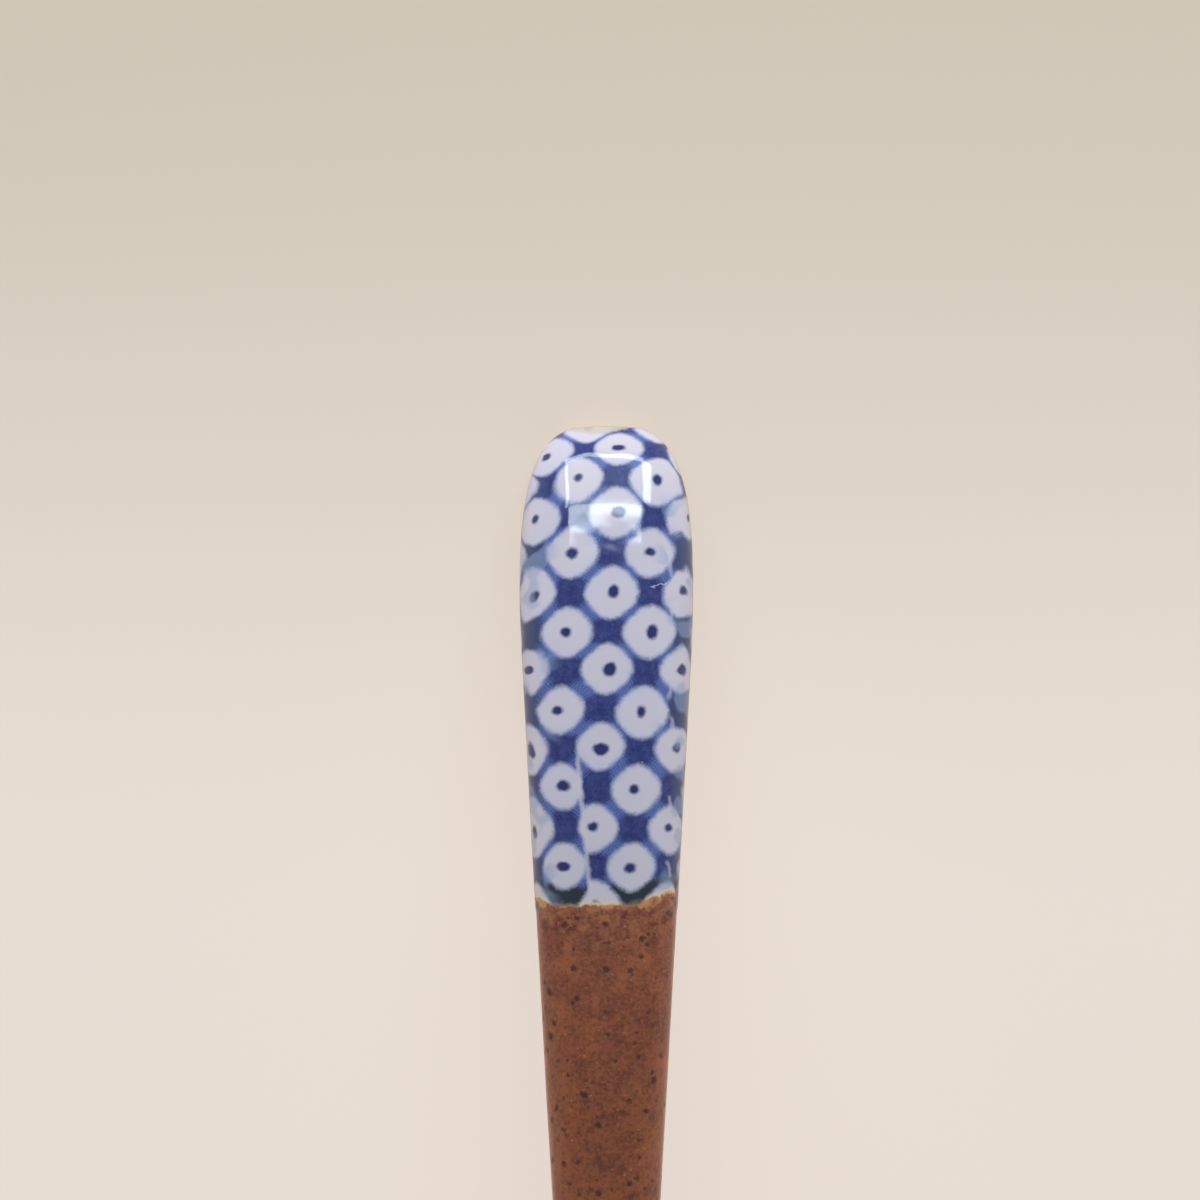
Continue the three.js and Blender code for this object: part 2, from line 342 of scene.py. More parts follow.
class HandleFace:
    """The glazed front of the handle's end, from edge to edge and a little round each side."""

    CROWDING = 0.6
    COARSE_FRAY = 1.6 * MM
    FINE_FRAY = 0.6 * MM

    def __init__(self, form):
        self.form = form

    def station(self, share):
        crowded = between(share, ease(share, 0, 1), self.CROWDING)
        low = self.form.end_y - self.form.handle_face
        return between(low, self.form.end_y - self.form.handle_face_margin, crowded)

    def angles(self, station):
        return -self.form.handle_face_wrap, math.pi + self.form.handle_face_wrap

    def border(self, across, to_side, to_end, to_neck):
        """Distance to the glaze's border, which is ragged where it was dipped."""
        ragged = noise.noise(Vector((across / self.COARSE_FRAY, 4.0, 2.0))) * 0.25 * MM
        ragged += noise.noise(Vector((across / self.FINE_FRAY, 1.0, 9.0))) * 0.1 * MM
        return min(to_side, to_end, 0.4 * to_neck - 0.1 * MM + 0.4 * ragged)


class BowlFace:
    """The glazed inside of the bowl: a leaf with an even band of bare clay along the rim."""

    CROWDING = 0.9

    def __init__(self, form):
        self.form = form

    def station(self, share):
        crowded = between(share, ease(share, 0, 1), self.CROWDING)
        low = self.form.tip_y + self.form.bowl_face_band
        return between(low, self.form.bowl_face_neck, crowded)

    def angles(self, station):
        form = self.form
        start = form.bowl_face_neck - form.bowl_face_round
        close = rounded((station - start) / form.bowl_face_round, 2)
        reach = form.half_width(station, form.bowl_face_band) * close / form.half_width(station)
        edge = math.acos(clamp(reach))
        return edge, math.pi - edge

    def border(self, across, to_side, to_end, to_neck):
        """Distance to the glaze's border."""
        return min(to_side, to_end, to_neck)


def face_spot(face, share_across, share_along):
    """The angle and the station of a place on a face, given as shares of its two sides."""
    station = face.station(share_along)
    first, last = face.angles(station)
    return between(first, last, share_across), station


def face_outline(face, count=240):
    """Points all along a face's border."""
    shares = [i / count for i in range(count + 1)]
    sides = [(0, share) for share in shares] + [(1, share) for share in shares]
    ends = [(share, 0) for share in shares] + [(share, 1) for share in shares]
    return [face.form.skin(*face_spot(face, *spot)) for spot in sides + ends]


def running_length(points):
    """The way along a row of points, from its first one."""
    way = [0.0]
    for here, there in zip(points, points[1:]):
        way.append(way[-1] + (there - here).length)
    return way


def corner_order(part):
    """A number that puts a face in the same place in every run, from its corners' numbers."""
    numbers = [corner.index for corner in part.verts]
    return min(numbers) * ABOVE_ALL_SUMS + sum(numbers)


def glazed_sheet(face, across, along):
    """A face's slip, print and glaze as one closed shell, its border sunk into the clay.

    Its corners keep the way across from the middle, the way along from the far end and the
    distance to the border, in millimetres.
    """
    form = face.form
    shell = bmesh.new()
    bmesh.ops.create_grid(shell, x_segments=across, y_segments=along, size=0.5)
    face_mm = shell.verts.layers.float_vector.new("face_mm")
    shell.verts.ensure_lookup_table()
    count = across + 1
    rows = [shell.verts[first : first + count] for first in range(0, len(shell.verts), count)]
    spots = {}
    for row in rows:
        for corner in row:
            spots[corner] = face_spot(face, corner.co.x + 0.5, corner.co.y + 0.5)
            corner.co = form.skin(*spots[corner])
    along_way = running_length([row[across // 2].co for row in rows])
    for row, to_neck in zip(rows, along_way):
        across_way = running_length([corner.co for corner in row])
        to_end = along_way[-1] - to_neck
        for corner, way in zip(row, across_way):
            from_middle = way - across_way[across // 2]
            to_side = min(way, across_way[-1] - way)
            border = face.border(from_middle, to_side, to_end, to_neck)
            corner[face_mm] = Vector((from_middle, to_end, border)) / MM
    for row in rows:
        for corner in row:
            thin = ease(corner[face_mm].z * MM, -0.2 * form.glaze_lip, form.glaze_lip)
            depth = between(form.glaze_dip, -form.glaze_proud, thin)
            corner.co = form.skin(*spots[corner], depth)
    bmesh.ops.remove_doubles(shell, verts=shell.verts, dist=SHEET_WELD)
    shell.normal_update()
    moved = [(corner, form.wobbled(corner.co, corner.normal)) for corner in shell.verts]
    for corner, point in moved:
        corner.co = point
    bmesh.ops.solidify(shell, geom=shell.faces, thickness=form.glaze_thickness)
    # The border's faces come in no fixed order, so all faces are sorted.
    shell.verts.index_update()
    shell.faces.sort(key=corner_order)
    for part in shell.faces:
        part.smooth = True
    return shell


def clay_shell(form, around, along):
    """The whole spoon's clay, ground flat where it meets the table.

    Its corners keep the distance to the nearest glaze border, in millimetres.
    """
    shell = bmesh.new()
    bmesh.ops.create_grid(shell, x_segments=around, y_segments=along, size=0.5)
    for corner in shell.verts:
        angle = math.tau * (corner.co.x + 0.5)
        share = 0.5 - 0.5 * math.cos(math.pi * (corner.co.y + 0.5))
        corner.co = form.skin(angle, between(form.tip_y, form.end_y, share))
    bmesh.ops.remove_doubles(shell, verts=shell.verts, dist=CLAY_WELD)
    bmesh.ops.recalc_face_normals(shell, faces=shell.faces)
    shell.normal_update()
    moved = [(corner, form.wobbled(corner.co, corner.normal)) for corner in shell.verts]
    for corner, point in moved:
        corner.co = point
    everything = [*shell.verts, *shell.edges, *shell.faces]
    bmesh.ops.bisect_plane(
        shell, geom=everything, plane_co=(0, 0, 0), plane_no=(0, 0, 1), clear_inner=True
    )
    for skin_face in shell.faces:
        skin_face.smooth = True
    cut = [edge for edge in shell.edges if edge.is_boundary]
    flats = bmesh.ops.holes_fill(shell, edges=cut)
    for flat in flats["faces"]:
        flat.smooth = False
    for edge in cut:
        edge.smooth = False
    # The print ends above the sheet's lower border, so the handle's glaze is taken to end there.
    handle_outline = face_outline(HandleFace(form))
    line_y = form.end_y - form.handle_face + LINE_ABOVE_SHEET
    for point in handle_outline:
        point.y = max(point.y, line_y)
    outlines = handle_outline + face_outline(BowlFace(form))
    borders = kdtree.KDTree(len(outlines))
    for number, point in enumerate(outlines):
        borders.insert(point, number)
    borders.balance()
    glaze_mm = shell.verts.layers.float.new("glaze_mm")
    for corner in shell.verts:
        corner[glaze_mm] = borders.find(corner.co)[2] / MM
    return shell


class Value:
    """A socket's value in a finish. Arithmetic on it adds Math nodes."""

    def __init__(self, finish, socket):
        self.finish = finish
        self.socket = socket

    def math(self, operation, *others):
        return self.finish.math(operation, self, *others)

    def __add__(self, other):
        return self.math("ADD", other)

    __radd__ = __add__

    def __sub__(self, other):
        return self.math("SUBTRACT", other)

    def __rsub__(self, other):
        return self.finish.math("SUBTRACT", other, self)

    def __mul__(self, other):
        return self.math("MULTIPLY", other)

    __rmul__ = __mul__

    def __truediv__(self, other):
        return self.math("DIVIDE", other)

    def __pow__(self, other):
        return self.math("POWER", other)

    def __abs__(self):
        return self.math("ABSOLUTE")

    def __lt__(self, other):
        return self.math("LESS_THAN", other)

    def __gt__(self, other):
        return self.math("GREATER_THAN", other)

    def least(self, other):
        return self.math("MINIMUM", other)

    def most(self, other):
        return self.math("MAXIMUM", other)

    def climb(self, low, high):
        """0 below low, 1 above high and a smooth climb between them."""
        settings = {"interpolation_type": "SMOOTHSTEP"}
        inputs = {"Value": self, "From Min": low, "From Max": high}
        return self.finish.node("ShaderNodeMapRange", settings, inputs)

    def colour(self, first, second):
        """The first colour where this is 0 and the second where it is 1."""
        inputs = {0: self, 6: first, 7: second}
        return self.finish.node("ShaderNodeMix", {"data_type": "RGBA"}, inputs, 2)

    def output(self, name):
        """Another output of the same node."""
        return Value(self.finish, self.socket.node.outputs[name])

    def parts(self):
        """The three numbers of a vector."""
        x = self.finish.node("ShaderNodeSeparateXYZ", {}, {"Vector": self})
        return x, x.output("Y"), x.output("Z")


class Finish:
    """A material under construction."""

    def __init__(self, name):
        self.material = bpy.data.materials.new(name)
        self.material.use_nodes = True
        self.tree = self.material.node_tree
        self.tree.nodes.clear()

    def node(self, kind, settings, inputs, output=0):
        """Adds a node, gives it its settings and then its inputs, and returns one of its outputs."""
        made = self.tree.nodes.new(kind)
        for name, value in settings.items():
            setattr(made, name, value)
        for name, value in inputs.items():
            if isinstance(value, Value):
                self.tree.links.new(value.socket, made.inputs[name])
            elif made.inputs[name].type == "RGBA":
                made.inputs[name].default_value = (*value, 1)
            else:
                made.inputs[name].default_value = value
        return Value(self, made.outputs[output]) if made.outputs else None

    def math(self, operation, *values):
        return self.node("ShaderNodeMath", {"operation": operation}, dict(enumerate(values)))

    def vector(self, operation, *values):
        return self.node("ShaderNodeVectorMath", {"operation": operation}, dict(enumerate(values)))

    def joined(self, x, y):
        """A flat vector."""
        return self.node("ShaderNodeCombineXYZ", {}, {"X": x, "Y": y})

    def place_mm(self):
        """The place on the spoon, in millimetres."""
        place = self.node("ShaderNodeTexCoord", {}, {}, "Object")
        return self.vector("MULTIPLY", place, (1 / MM, 1 / MM, 1 / MM))

    def cloud(self, place, size, detail=2.0, rough=0.5):
        """A soft noise whose blotches have that size."""
        inputs = {"Vector": place, "Scale": 1 / size, "Detail": detail, "Roughness": rough}
        return self.node("ShaderNodeTexNoise", {"noise_dimensions": "3D"}, inputs)

    def finished(self, **inputs):
        """Ends the material with one shader that has these inputs."""
        named = {name.replace("_", " "): value for name, value in inputs.items()}
        shader = self.node("ShaderNodeBsdfPrincipled", {}, named)
        self.node("ShaderNodeOutputMaterial", {}, {"Surface": shader})
        return self.material


def specks(finish, place, spacing, least, most, share):
    """Round specks of mixed sizes, of which only a share of the places have one."""
    cells = finish.node(
        "ShaderNodeTexVoronoi", {"voronoi_dimensions": "3D"}, {"Vector": place, "Scale": 1 / spacing}
    )
    chance, fortune, _ = cells.output("Color").parts()
    radius = (least + (most - least) * fortune**2) * (chance < share)
    return 1 - (cells * spacing - radius).climb(-least, 0.7 * least)


def clay_look(finish, colours, near_glaze):
    """Colour, roughness and height in millimetres of the bare clay near a glaze border."""
    place = finish.place_mm()
    stray = finish.cloud(place, 0.5).output("Color")
    strayed = finish.vector("MULTIPLY_ADD", stray, (0.5, 0.5, 0.5), place)
    mottle = finish.cloud(place, 2.4, detail=4.0, rough=0.62)
    grain = finish.cloud(place, 0.35, rough=0.6)
    drift = finish.cloud(place, 14.0, detail=1.0)
    blotch = finish.cloud(strayed, 1.0, detail=3.0, rough=0.65)
    pits = specks(finish, strayed, spacing=1.3, least=0.19, most=0.41, share=0.9)
    dust = specks(finish, strayed, spacing=0.75, least=0.07, most=0.15, share=0.4)
    sand = specks(finish, strayed, spacing=0.62, least=0.05, most=0.13, share=0.35)
    # The clay is warmer far from the glaze, in patches and in single grains.
    colour = (0.6 * near_glaze.climb(9.0, 22.0)).colour(colours.clay, colours.clay_warm)
    colour = mottle.climb(0.5, 0.66).colour(colour, colours.clay_warm)
    colour = (0.75 * (1 - mottle.climb(0.34, 0.5))).colour(colour, colours.clay_cool)
    colour = (drift.climb(0.45, 0.75) * 0.4).colour(colour, colours.clay_warm)
    colour = (0.7 * grain.climb(0.5, 0.66)).colour(colour, colours.clay_warm)
    colour = (0.6 * (1 - grain.climb(0.34, 0.5))).colour(colour, colours.clay_cool)
    colour = (0.5 * sand).colour(colour, colours.fringe)
    # Close to the glaze it is blotched, and stained tan at the very border.
    close = 1 - near_glaze.climb(0.0, 7.0)
    colour = (0.25 * close * blotch.climb(0.52, 0.62)).colour(colour, colours.fringe)
    dark = (0.27 + 0.4 * close) * (1 - blotch.climb(0.36, 0.47))
    colour = dark.colour(colour, colours.pit)
    fringe = 1 - (near_glaze + 6.0 * (mottle - 0.5)).climb(-0.1, 0.8)
    colour = (0.8 * fringe).colour(colour, colours.fringe)
    colour = (0.7 * dust).colour(colour, colours.pit)
    colour = (0.9 * pits).colour(colour, colours.pit)
    roughness = 0.34 + 0.14 * grain + 0.25 * pits
    height = 0.04 * grain + 0.03 * mottle - 0.045 * pits - 0.02 * dust
    return colour, roughness, height


def clay_finish(colours, end_mm):
    """Bare, satin iron clay, cream at the handle's very end and lighter where it was ground flat."""
    finish = Finish("speckled_clay")
    near = finish.node("ShaderNodeAttribute", {"attribute_name": "glaze_mm"}, {}, "Fac")
    colour, roughness, height = clay_look(finish, colours, near)
    _, forward, up = finish.place_mm().parts()
    tip = forward.climb(end_mm - 1.1, end_mm - 0.5)
    colour = (0.85 * tip).colour(colour, colours.cream)
    ground = 1 - up.climb(0.02, 0.06)
    colour = (0.45 * ground).colour(colour, colours.fringe)
    normal = finish.node("ShaderNodeBump", {}, {"Distance": MM, "Height": height})
    rough = roughness + 0.25 * ground
    return finish.finished(Base_Color=colour, Roughness=rough, IOR=1.5, Normal=normal, **CLAY_SHEEN)


def ring_print(finish, sizes, colours, across, along, grown=0.0):
    """The printed slip: white rings with a dot, hatched lines between two, full blue between four.

    Gives the colours of the slip and of the blue, and where the blue and the dots lie.
    """
    across_mm = sizes.pitch_across / MM
    along_mm = sizes.pitch_along / MM
    step_mm = math.hypot(across_mm, along_mm) / 2
    down = along - sizes.first_along / MM
    column = (across + sizes.lean * down - sizes.first_across / MM) / across_mm
    row = down / along_mm
    # Each cell of a slanting lattice holds one ring, and its colour gives that ring's chances.
    stray = 0.08
    dot_stray = 0.08
    lattice = finish.joined(column + row + stray / 2, column - row + stray / 2)
    cells = finish.node(
        "ShaderNodeTexVoronoi",
        {"voronoi_dimensions": "2D", "distance": "MINKOWSKI"},
        {"Vector": lattice, "Scale": 1.0, "Exponent": 2.7, "Randomness": stray},
    )
    chance, fortune, whim = cells.output("Color").parts()
    local = finish.vector("SUBTRACT", lattice, cells.output("Position"))
    first, second, _ = local.parts()
    face = finish.joined(across, along)
    mottle = finish.cloud(face, 0.9, detail=3.0, rough=0.6)
    fibre = finish.cloud(face, 0.22, rough=0.6)
    drift = finish.cloud(face, 9.0, detail=1.0)
    # The hatch's teeth follow the nearer side of the cell. Rings differ a little and are uneven.
    tangent = (abs(first) < abs(second)) * (first - second) + second
    wander = 0.5 * (mottle - 0.5)
    teeth = ((tangent + wander / step_mm) * (math.tau * step_mm / (sizes.hatch / MM))).math("SINE")
    edge = cells - sizes.ring - grown - 0.06 * (chance - 0.5)
    edge = edge - 0.09 * (mottle - 0.5) - 0.05 * (fibre - 0.5)
    corner = abs(first).least(abs(second)).climb(0.06, 0.28)
    ink = (edge + 0.004 * teeth * (1 - corner)).climb(-0.07, 0.045)
    haze = edge.climb(-0.12, 0.0)
    # The blue is deepest between four rings. Dots lie a little off the middle and are not round.
    depth = corner + 0.9 * (mottle - 0.5) + 0.6 * (fibre - 0.5) - 0.55 * (1 - corner) * teeth
    blue = depth.climb(-0.2, 1.45).colour(colours.cobalt_thin, colours.cobalt_deep)
    shift = finish.joined(dot_stray * (fortune - 0.5), dot_stray * (whim - 0.5))
    left, right, _ = finish.vector("SUBTRACT", local, shift).parts()
    dot_way = (left * left + right * right + 1.2 * (chance - 0.5) * left * right) ** 0.5
    radius = sizes.dot * (0.8 + 0.4 * fortune)
    dot = 1 - (dot_way + 0.09 * (mottle - 0.5) - radius).climb(-0.04, 0.04)
    slip = (0.45 * haze).colour(colours.slip, colours.haze)
    slip = (0.2 * drift.climb(0.4, 0.7)).colour(slip, colours.haze)
    return slip, blue, ink, dot


def glazed(finish, colours, face, colour, wave, past, fade, **sheen):
    """Ends a print under clear glaze. Past its border the clay shows and the gloss fades."""
    clay, clay_rough, clay_height = clay_look(finish, colours, past.most(0.0) * 0.8)
    colour = past.climb(0.0, fade).colour(colour, clay)
    dull = past.climb(0.1, 0.9)
    roughness = 0.05 + 0.03 * wave + dull * (clay_rough - 0.06)
    swell = finish.cloud(face, 3.0, detail=1.0)
    height = 0.035 * swell + dull * clay_height
    normal = finish.node("ShaderNodeBump", {}, {"Distance": MM, "Height": height})
    return finish.finished(Base_Color=colour, Roughness=roughness, IOR=1.6, Normal=normal, **sheen)


def handle_face_finish(sizes, colours):
    """The handle's printed end under clear glaze, running out into the clay at a ragged line."""
    finish = Finish("handle_ring_print")
    spot = finish.node("ShaderNodeAttribute", {"attribute_name": "face_mm"}, {}, "Vector")
    across, along, border = spot.parts()
    face = finish.joined(across, along)
    half_width_mm = 7.0
    to_edge = abs(across).climb(5.2, 7.6)
    push, pull, smudge = finish.cloud(face, 3.2, detail=1.0).output("Color").parts()
    frayed = finish.cloud(face, 0.7, rough=0.6) - 0.5
    # To the left of a slanting seam the transfer is out of step, the more the nearer to the line.
    from_seam = sizes.seam_slant * along - sizes.seam / MM - across + 0.5 * frayed
    seam = (from_seam > 0.0) * along.climb(28.5, 45.0)
    # It is stretched over the end, gathered and drooping on the left, and wrinkled at the edges.
    stretched = 1 - along.climb(0.0, 7.0)
    gathered = (1 - across.climb(-3.5, 0.5)) * (1 - along.climb(6.5, 9.5))
    drooped = (1 - across.climb(-6.0, -3.5)) * (1 - along.climb(9.5, 14.0))
    out_of_step = sizes.seam_step / MM * seam
    column = across - out_of_step - 0.6 * gathered + 2.4 * to_edge * (push - 0.5)
    row = along - 1.5 * stretched - 0.7 * drooped + 2.4 * to_edge * (pull - 0.5)
    grown = 0.035 * (1 - along.climb(11.0, 18.0))
    slip, blue, ink, dot = ring_print(finish, sizes, colours, column, row, grown)
    # A thin gap follows the seam, a broken crease the right edge, and smears lie at both edges.
    gap = along.climb(30.5, 33.5) * (1 - abs(from_seam).climb(0.05, 0.38))
    slip = (0.6 * gap).colour(slip, colours.slip)
    from_crease = across - sizes.crease / MM + 2.0 * (push - 0.5) + 0.5 * frayed
    crease = 1 - abs(from_crease).climb(0.05, 0.4)
    crease = crease * finish.cloud(finish.joined(0.0, along), 4.0, detail=0.0).climb(0.5, 0.55)
    smear = abs(across).climb(3.8, 6.0) * along.climb(7.5, 10.0) * smudge.climb(0.54, 0.62)
    # The line is ragged, bows up towards both edges and leans.
    wave = finish.cloud(face, 1.3, detail=3.0, rough=0.6)
    nibble = finish.cloud(face, 0.35, rough=0.6)
    sideways = across / half_width_mm
    bow = sizes.line_bow / MM * sideways * sideways
    line = sizes.line / MM - bow - sizes.line_lean / MM * sideways
    past = along - line + 1.1 * (wave - 0.5) + 0.5 * (nibble - 0.5) - 0.3 * ink
    # The blue is greyer at the edges and almost black at the line.
    blue = (0.7 * to_edge).colour(blue, colours.cobalt_edge)
    blue = past.climb(-2.2, -1.4).colour(blue, colours.cobalt_line)
    dots = (0.5 * to_edge).colour(colours.cobalt_dot, colours.cobalt_edge)
    ink = ink * (1 - 0.5 * crease) * (1 - 0.7 * gap)
    colour = ink.colour(slip, blue)
    colour = dot.colour(colour, dots)
    colour = (0.5 * smear).colour(colour, colours.smear)
    # A scratch and pinholes in the glaze with a painted highlight: they are painted pale, as the
    # light they catch.
    beside = across - sizes.scratch_across / MM
    below = along - sizes.scratch_along / MM
    scratch_glint = 1 - abs(below + 0.25 * beside + 0.8 * frayed).climb(0.01, 0.1)
    scratch_glint = scratch_glint * (1 - abs(beside).climb(0.6, 0.9))
    pinhole_glints = specks(finish, face, spacing=3.0, least=0.08, most=0.14, share=0.2)
    colour = (0.45 * scratch_glint.most(pinhole_glints)).colour(colour, colours.glint)
    # The slip turns cream at the line and where an edge is rubbed. The very end is not printed.
    cream = past.climb(-0.4, 0.15) * (1 - 0.8 * ink)
    colour = cream.colour(colour, colours.cream)
    cap = 1.6 - 0.2 * across - 0.12 * across * across
    tip = 1 - (along + wave - 0.5 - cap).climb(-0.3, 0.3)
    colour = (0.85 * tip).colour(colour, colours.cap)
    rubbed = along.climb(12.0, 30.0) * (1 - along.climb(38.0, 41.0)) * (1.0 + frayed)
    colour = (0.8 * (1 - (border - rubbed).climb(0.2, 0.6))).colour(colour, colours.cream)
    return glazed(finish, colours, face, colour, wave, past, fade=0.35, **GLAZE_SHEEN)


def bowl_face_finish(sizes, colours):
    """The bowl's printed inside under clear glaze, with a cream and tan border."""
    finish = Finish("bowl_ring_print")
    spot = finish.node("ShaderNodeAttribute", {"attribute_name": "face_mm"}, {}, "Vector")
    across, along, border = spot.parts()
    slip, blue, ink, dot = ring_print(finish, sizes, colours, across, along)
    face = finish.joined(across, along)
    wave = finish.cloud(face, 1.3, detail=3.0, rough=0.6)
    past = 0.7 - border + 0.9 * (wave - 0.5)
    blue = past.climb(-1.4, -0.2).colour(blue, colours.cobalt_line)
    colour = ink.colour(slip, blue)
    colour = dot.colour(colour, colours.cobalt_dot)
    colour = (past.climb(-0.4, 0.15) * (1 - 0.8 * ink)).colour(colour, colours.cream)
    return glazed(finish, colours, face, colour, wave, past, fade=0.4)


def add_object(name, shell, material):
    """An object of a finished mesh, at the origin."""
    mesh = bpy.data.meshes.new(name)
    shell.to_mesh(mesh)
    shell.free()
    mesh.materials.append(material)
    made = bpy.data.objects.new(name, mesh)
    bpy.context.scene.collection.objects.link(made)
    return made


def add_piece(name, shell, material, slot, *nodes):
    """A piece of the spoon that stands for these solids."""
    piece = add_object(name, shell, material)
    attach(piece, "root")
    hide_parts(*nodes)


class SPOON_OT_clay(bpy.types.Operator):
    """Adds the spoon's clay body"""

    bl_idname = "spoon.clay"
    bl_label = "Clay"

    def execute(self, context):
        form = SpoonForm(context.scene.spoon_size)
        shell = clay_shell(form, around=160, along=420)
        material = clay_finish(context.scene.spoon_colours, form.end_y / MM)
        add_piece("clay_spoon", shell, material, "clay", "clay_body")
        return {"FINISHED"}


class SPOON_OT_handle_face(bpy.types.Operator):
    """Adds the printed and glazed front of the handle's end"""

    bl_idname = "spoon.handle_face"
    bl_label = "Handle Face"

    def execute(self, context):
        scene = context.scene
        face = HandleFace(SpoonForm(scene.spoon_size))
        shell = glazed_sheet(face, across=128, along=240)
        material = handle_face_finish(scene.spoon_print, scene.spoon_colours)
        nodes = ("handle_white_slip", "handle_transfer_print", "handle_clear_glaze")
        add_piece("handle_glazed_face", shell, material, "clear_glaze", *nodes)
        return {"FINISHED"}


class SPOON_OT_bowl_face(bpy.types.Operator):
    """Adds the printed and glazed inside of the bowl"""

    bl_idname = "spoon.bowl_face"
    bl_label = "Bowl Face"

    def execute(self, context):
        scene = context.scene
        face = BowlFace(SpoonForm(scene.spoon_size))
        shell = glazed_sheet(face, across=120, along=200)
        material = bowl_face_finish(scene.spoon_print, scene.spoon_colours)
        nodes = ("bowl_white_slip", "bowl_transfer_print", "bowl_clear_glaze")
        add_piece("bowl_glazed_face", shell, material, "clear_glaze", *nodes)
        return {"FINISHED"}


def add_light(name, place, facing, width, height, brightness, mirrored):
    """A flat light at a place, turned a given way. Glossy surfaces mirror it or do not."""
    lamp = bpy.data.lights.new(name, "AREA")
    lamp.shape = "RECTANGLE"
    lamp.size = width
    lamp.size_y = height
    lamp.energy = brightness * math.pi * width * height
    light = bpy.data.objects.new(name, lamp)
    light.location = place
    light.rotation_euler = facing.to_euler()
    light.visible_glossy = mirrored
    if mirrored:
        lamp.color = COOL_LIGHT
    bpy.context.scene.collection.objects.link(light)


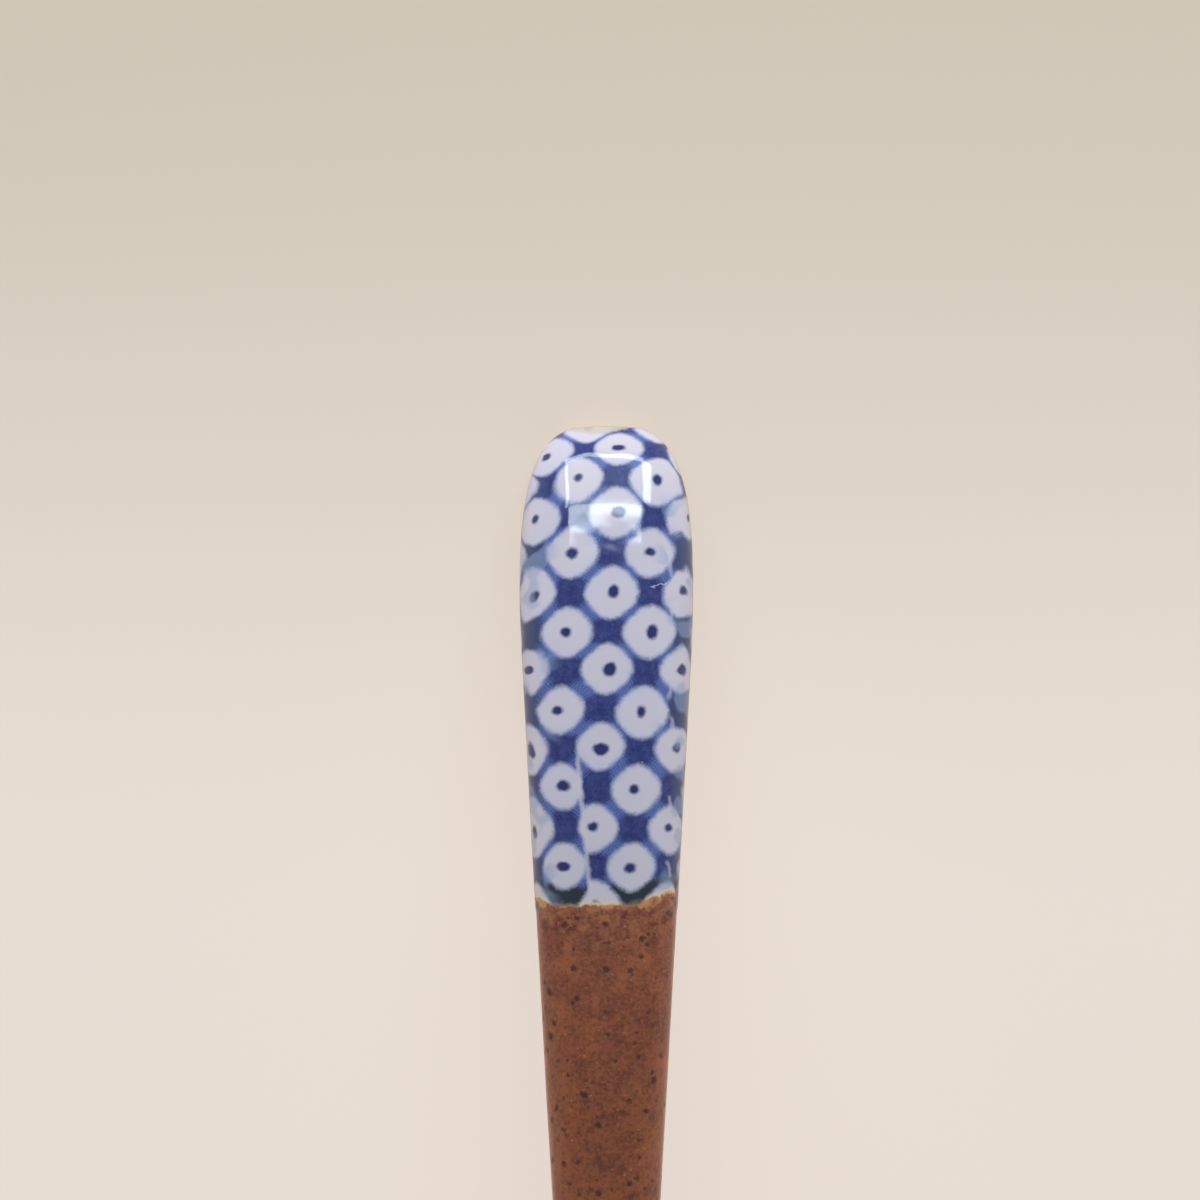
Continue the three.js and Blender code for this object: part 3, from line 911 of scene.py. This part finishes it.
class SPOON_OT_stage(bpy.types.Operator):
    """Adds the table, the soft lights and the camera"""

    bl_idname = "spoon.stage"
    bl_label = "Stage"

    FLOOR_HALF = 2.0
    FLOOR_FADE_MM = (90.0, 190.0)
    FLOOR_DIFFUSE = (0.25, 0.25, 0.25)
    FLOOR_GLOW = 0.88
    STRIP_NEARNESS = 0.99
    MIDDLE_Y = 110 * MM
    AROUND_AWAY = 1.2
    AROUND_WIDTH = 1.2
    AROUND_HEIGHT = 0.4

    def execute(self, context):
        scene = context.scene
        stage = scene.spoon_stage
        colours = scene.spoon_colours
        form = SpoonForm(scene.spoon_size)
        on_handle = form.skin(math.pi / 2, stage.target_y)
        target = Vector((stage.target_x, stage.target_y, on_handle.z))
        self.add_floor(colours)
        self.add_lights(stage, form.skin(math.pi / 2, form.end_y - stage.highlight))
        self.add_camera(scene, stage, target)
        world = bpy.data.worlds.new("soft_room")
        world.use_nodes = True
        backdrop = world.node_tree.nodes["Background"]
        backdrop.inputs["Color"].default_value = ROOM_COLOUR
        backdrop.inputs["Strength"].default_value = stage.fill
        scene.world = world
        scene.view_settings.view_transform = "Standard"
        return {"FINISHED"}

    def add_floor(self, colours):
        """A pale table, bright mostly by its own glow, so that the spoon's shadow is faint."""
        shell = bmesh.new()
        bmesh.ops.create_grid(shell, x_segments=1, y_segments=1, size=self.FLOOR_HALF)
        finish = Finish("pale_table")
        _, along, _ = finish.place_mm().parts()
        # Painted shade: the table is darker beyond the handle's end, where less light falls, and
        # lighter by the bowl.
        far = along.climb(*self.FLOOR_FADE_MM)
        colour = far.colour(colours.floor_near, colours.floor_far)
        diffuse = finish.vector("MULTIPLY", colour, self.FLOOR_DIFFUSE)
        material = finish.finished(
            Base_Color=diffuse,
            Roughness=0.9,
            Emission_Color=colour,
            Emission_Strength=self.FLOOR_GLOW,
        )
        table = add_object("table", shell, material)
        table.visible_glossy = False

    def add_lights(self, stage, target):
        """A soft panel beyond the handle's end, narrow lights on its borders and four all round."""
        # Place aside and above, width and height, all as shares of the distance, and brightness.
        lights = {
            "soft_panel": (0.0, -0.015, 0.9, 0.61, stage.panel),
            "left_strip": (-0.43, 0.02, 0.06, 0.64, stage.strips),
            "right_strip": (0.45, 0.01, 0.17, 0.56, stage.strips),
            "far_strip": (-0.02, -0.27, 0.84, 0.08, stage.strips),
            "near_haze": (-0.02, 0.32, 0.74, 0.06, 0.35 * stage.strips),
            "near_strip": (-0.02, 0.4075, 0.74, 0.115, 1.3 * stage.strips),
            "near_glow": (-0.02, 0.4775, 0.74, 0.025, 0.9 * stage.strips),
        }
        away = Vector((0, math.sin(stage.light_tilt), math.cos(stage.light_tilt)))
        facing = (-away).to_track_quat("-Z", "Y")
        upright = facing @ Vector((0, 1, 0))
        reach = stage.light_distance
        for name, (aside, above, width, height, brightness) in lights.items():
            nearness = 1.0 if name == "soft_panel" else self.STRIP_NEARNESS
            place = Vector((aside, 0, 0)) + upright * above + away * nearness
            lamp = (width * reach, height * reach, brightness)
            add_light(name, target + place * reach, facing, *lamp, True)
        # The way to the light, and its brightness.
        around = {
            "left_side": (-1.0, 0.0, 0.2, stage.sides),
            "right_side": (1.0, 0.0, 0.2, stage.sides),
            "behind": (0.0, -1.0, 0.84, 0.95 * stage.sides),
            "ahead": (0.0, 1.0, 0.09, stage.ahead),
        }
        middle = Vector((0, self.MIDDLE_Y, 0))
        for name, (*way, brightness) in around.items():
            away = Vector(way).normalized()
            facing = (-away).to_track_quat("-Z", "Y")
            lamp = (self.AROUND_WIDTH * reach, self.AROUND_HEIGHT * reach, brightness)
            add_light(name, middle + away * self.AROUND_AWAY * reach, facing, *lamp, False)

    def add_camera(self, scene, stage, target):
        """A long lens that looks down on the handle's end."""
        lens = bpy.data.cameras.new("camera")
        lens.sensor_width = 36
        lens.lens = lens.sensor_width * stage.distance / stage.view_width
        camera = bpy.data.objects.new("camera", lens)
        away = Vector((0, math.sin(stage.view_tilt), math.cos(stage.view_tilt)))
        camera.location = target + away * stage.distance
        camera.rotation_euler = (-stage.view_tilt, 0, 0)
        scene.collection.objects.link(camera)
        scene.camera = camera


class SPOON_PT_sidebar(bpy.types.Panel):
    """The spoon's pieces, sizes and colours"""

    bl_label = "Ceramic Spoon"
    bl_space_type = "VIEW_3D"
    bl_region_type = "UI"
    bl_category = "Spoon"

    def draw(self, context):
        for operator in OPERATORS:
            self.layout.operator(operator.bl_idname)
        for name, group in GROUPS.items():
            values = getattr(context.scene, name)
            for value in group.__annotations__:
                self.layout.prop(values, value)


GROUPS = {
    "spoon_size": SpoonSize,
    "spoon_print": SpoonPrint,
    "spoon_colours": SpoonColours,
    "spoon_stage": SpoonStage,
}
OPERATORS = [SPOON_OT_clay, SPOON_OT_handle_face, SPOON_OT_bowl_face, SPOON_OT_stage]


def register():
    for name, group in GROUPS.items():
        bpy.utils.register_class(group)
        setattr(bpy.types.Scene, name, PointerProperty(type=group))
    for made in [*OPERATORS, SPOON_PT_sidebar]:
        bpy.utils.register_class(made)


def unregister():
    for made in [SPOON_PT_sidebar, *reversed(OPERATORS)]:
        bpy.utils.unregister_class(made)
    for name, group in reversed(GROUPS.items()):
        delattr(bpy.types.Scene, name)
        bpy.utils.unregister_class(group)


def main():
    register()
    bpy.ops.spoon.clay()
    bpy.ops.spoon.handle_face()
    bpy.ops.spoon.bowl_face()
    bpy.ops.spoon.stage()
    bpy.context.view_layer.update()


if __name__ == "__main__":
    main()
